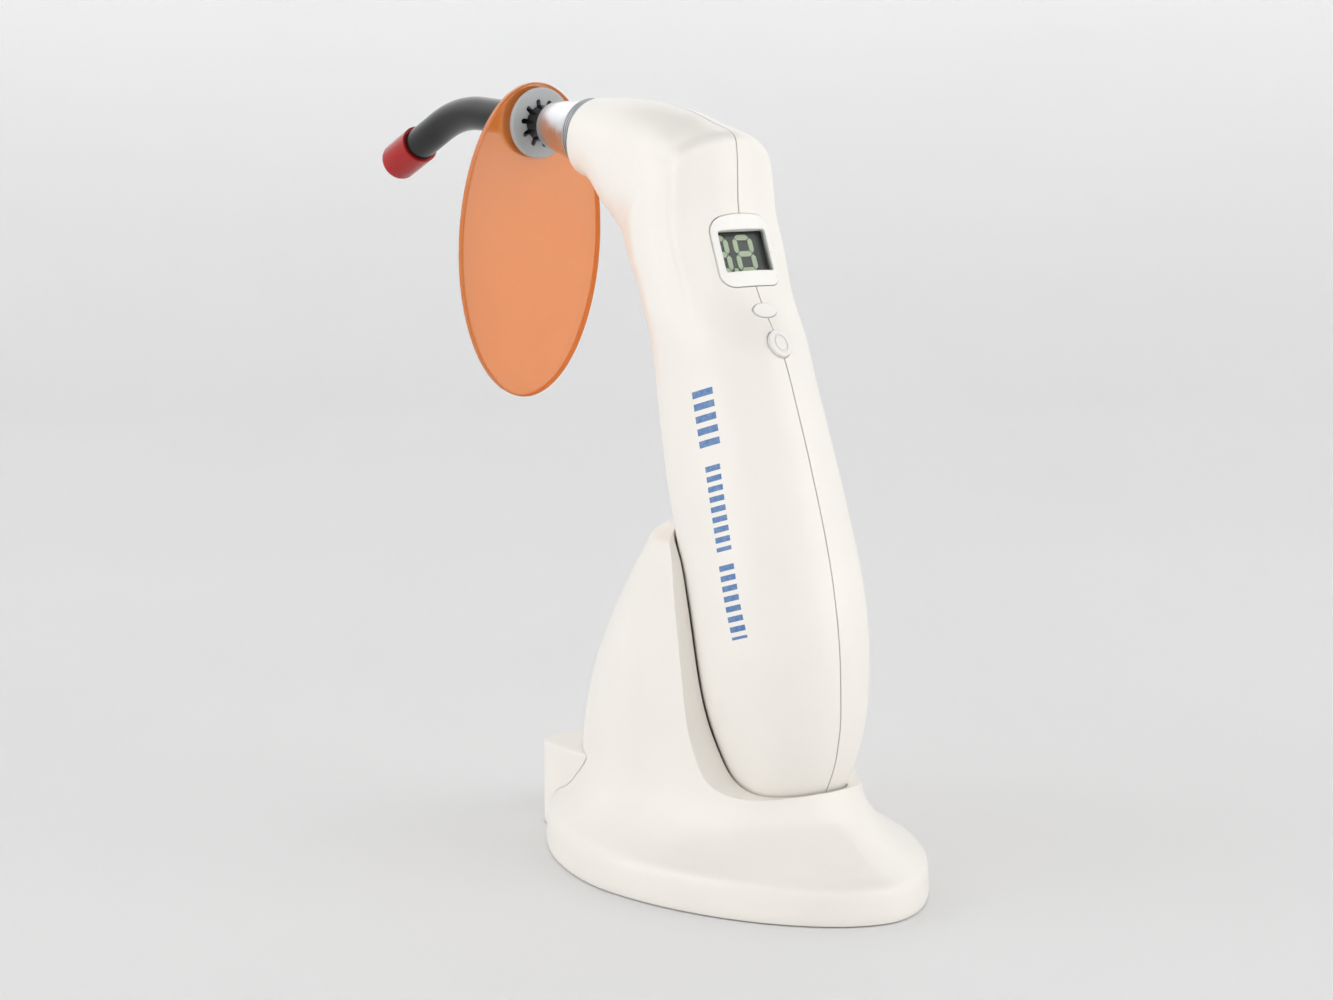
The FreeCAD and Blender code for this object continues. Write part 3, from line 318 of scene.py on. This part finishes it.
def build_materials():
    return {
        "body_white": plastic("body_white", WHITE_PLASTIC, 0.33, coat=0.12),
        "body_white_printed": plastic("body_white_printed", WHITE_PLASTIC, 0.33, coat=0.12, overlay=printed),
        "bezel_white": plastic("bezel_white", (0.915, 0.895, 0.85), 0.30, coat=0.2, edge=0.0004),
        "button_white": plastic("button_white", (0.91, 0.89, 0.845), 0.38, edge=0.0004),
        "underside_grey": plastic("underside_grey", (0.36, 0.36, 0.35), 0.55, grain=1200.0,
                                  grain_depth=0.00004),
        "black_nylon": plastic("black_nylon", (0.022, 0.022, 0.024), 0.45, variation=0.1),
        "component_black": plastic("component_black", (0.03, 0.03, 0.032), 0.5, variation=0.1),
        "led_board_white": plastic("led_board_white", (0.8, 0.8, 0.78), 0.35),
        "led_yellow": plastic("led_yellow", (0.85, 0.66, 0.08), 0.2, coat=0.5),
        "battery_wrap": plastic("battery_wrap", (0.03, 0.12, 0.34), 0.28, coat=0.3, variation=0.08),
        "guide_black": plastic("guide_black", (0.011, 0.011, 0.012), 0.17, grain=1400.0, grain_depth=0.000002,
                               variation=0.08, patchy=0.25, painted_shade=0.0, shine=0.32),
        "cap_red": plastic("cap_red", (0.40, 0.007, 0.008), 0.17, grain=1500.0, grain_depth=0.000002,
                           variation=0.05, patchy=0.25, painted_shade=0.4, shine=0.34),
        "lcd_segment_pale": plastic("lcd_segment_pale", (0.50, 0.56, 0.40), 0.5, painted_shade=0.0, edge=0.00005),
        "foot_rubber": rubber("foot_rubber", (0.025, 0.025, 0.026)),
        "seal_rubber": rubber("seal_rubber", (0.02, 0.02, 0.02)),
        "grommet_grey": rubber("grommet_grey", (0.47, 0.48, 0.485), 0.42),
        "nozzle_steel": metal("nozzle_steel", (0.66, 0.67, 0.69), 0.16),
        "collar_grey": metal("collar_grey", (0.50, 0.51, 0.53), 0.34),
        "ferrule_steel": metal("ferrule_steel", (0.6, 0.61, 0.62), 0.26),
        "screw_steel": metal("screw_steel", (0.55, 0.55, 0.57), 0.32, (300.0, 6000.0, 300.0)),
        "ballast_iron": metal("ballast_iron", (0.12, 0.12, 0.125), 0.6, (400.0, 400.0, 400.0), 0.00005),
        "spring_steel": metal("spring_steel", (0.5, 0.5, 0.52), 0.3, (3000.0, 3000.0, 3000.0)),
        "heat_sink_aluminium": metal("heat_sink_aluminium", (0.68, 0.69, 0.7), 0.32),
        "contact_nickel": metal("contact_nickel", (0.66, 0.64, 0.6), 0.25),
        "contact_gold": metal("contact_gold", (0.82, 0.58, 0.22), 0.24),
        "circuit_green": circuit_board("circuit_green"),
        "lcd_dark": lcd_backing("lcd_dark"),
        "window_clear": clear_pane("window_clear"),
        "lens_clear": glass_solid("lens_clear", (0.95, 0.97, 0.99)),
        "guide_glass": glass_solid("guide_glass", (0.88, 0.92, 0.93)),
        "shield_orange": orange_shield("shield_orange"),
    }


def paint_nodes(materials):
    """Every CAD node takes the material of its slot in the record."""
    for row in frame["record"]["subparts"]:
        mesh = nodes[row["node"]].data
        mesh.materials.clear()
        mesh.materials.append(materials[row["material_slot"]])


# ---------------------------------------------------------------- stage, light and camera
def stage_profile():
    """Radius and height of each ring of the stage, from its middle out to the top of the backdrop."""
    bend = STAGE_RADIUS - STAGE_FLAT
    rings = [(STAGE_FLAT * i / 4, 0.0) for i in range(5)]
    for i in range(1, 13):
        angle = math.pi / 2 * i / 12
        rings.append((STAGE_FLAT + bend * math.sin(angle), bend * (1 - math.cos(angle))))
    return rings + [(STAGE_RADIUS, STAGE_HEIGHT)]


def stage_mesh():
    shape = bmesh.new()
    previous = None
    for radius, height in stage_profile():
        if radius == 0:
            current = [shape.verts.new((0, 0, 0))] * STAGE_SIDES
        else:
            turns = [2 * math.pi * k / STAGE_SIDES for k in range(STAGE_SIDES)]
            current = [shape.verts.new((radius * math.cos(t), radius * math.sin(t), height)) for t in turns]
        if previous is not None:
            for k in range(STAGE_SIDES):
                after = (k + 1) % STAGE_SIDES
                corners = [previous[k], current[k], current[after], previous[after]]
                shape.faces.new(list(dict.fromkeys(corners))).smooth = True
        previous = current
    mesh = bpy.data.meshes.new("stage_floor")
    shape.to_mesh(mesh)
    shape.free()
    return mesh


def stage_paper():
    """Matt paper; the backdrop glows more the higher it rises."""
    g = Graph("stage_paper")
    base = g.mix(g.span(g.noise(3.0, 2.0), 0.0, 1.0), shade(STAGE_PAPER, 0.99), shade(STAGE_PAPER, 1.01))
    height = g.node("ShaderNodeSeparateXYZ", Vector=g.place).outputs["Z"]
    lit = g.node("ShaderNodeMapRange", Value=height, From_Min=0.0, From_Max=STAGE_RADIUS - STAGE_FLAT,
                 To_Min=0.0, To_Max=WALL_GLOW).outputs["Result"]
    shader = g.node("ShaderNodeBsdfPrincipled", Base_Color=base, Roughness=0.75, Emission_Strength=lit)
    shader.inputs["Emission Color"].default_value = (*STAGE_PAPER, 1.0)
    return g.finish(shader.outputs["BSDF"])


def build_stage():
    """Pale floor that curves up into a round backdrop."""
    mesh = stage_mesh()
    stage = bpy.data.objects.new("stage_floor", mesh)
    bpy.context.scene.collection.objects.link(stage)
    mesh.materials.append(stage_paper())


def softbox(name, place, size, power):
    """Rectangular light that points at the aim point and is not seen itself."""
    light = bpy.data.lights.new(name, "AREA")
    light.shape = "RECTANGLE"
    light.size = size[0]
    light.size_y = size[1]
    light.energy = power
    lamp = bpy.data.objects.new(name, light)
    lamp.location = place
    lamp.rotation_euler = (VIEW_AIM - place).to_track_quat("-Z", "Y").to_euler()
    lamp.visible_camera = False
    bpy.context.scene.collection.objects.link(lamp)


def around(azimuth, elevation, distance):
    """Point seen from the aim point; azimuth as for the camera, so 0 stands in front of the -Y side."""
    a = math.radians(azimuth)
    e = math.radians(elevation)
    return VIEW_AIM + Vector((math.sin(a) * math.cos(e), -math.cos(a) * math.cos(e), math.sin(e))) * distance


def build_lights():
    softbox("left_box", around(VIEW_AZIMUTH - SIDE_TURN, LEFT_RISE, SIDE_DISTANCE), SIDE_SIZE, SIDE_POWER)
    softbox("right_box", around(VIEW_AZIMUTH + SIDE_TURN, RIGHT_RISE, SIDE_DISTANCE), SIDE_SIZE, SIDE_POWER)
    softbox("top_box", around(VIEW_AZIMUTH, TOP_RISE, TOP_DISTANCE), TOP_SIZE, TOP_POWER)
    world = bpy.data.worlds.new("studio")
    bpy.context.scene.world = world
    world.use_nodes = True
    background = world.node_tree.nodes["Background"]
    background.inputs["Color"].default_value = (0.98, 0.99, 1.0, 1.0)
    background.inputs["Strength"].default_value = FILL


def build_camera():
    camera = bpy.data.cameras.new("camera")
    camera.lens = VIEW_LENS
    camera.sensor_width = 36.0
    camera.clip_start = 0.01
    viewer = bpy.data.objects.new("camera", camera)
    viewer.location = around(VIEW_AZIMUTH, VIEW_ELEVATION, VIEW_DISTANCE)
    viewer.rotation_euler = (VIEW_AIM - viewer.location).to_track_quat("-Z", "Y").to_euler()
    bpy.context.scene.collection.objects.link(viewer)
    bpy.context.scene.camera = viewer
    bpy.context.scene.view_settings.view_transform = "Standard"
    bpy.context.scene.view_settings.look = "None"


# ---------------------------------------------------------------- build
paint_nodes(build_materials())
build_stage()
build_lights()
build_camera()
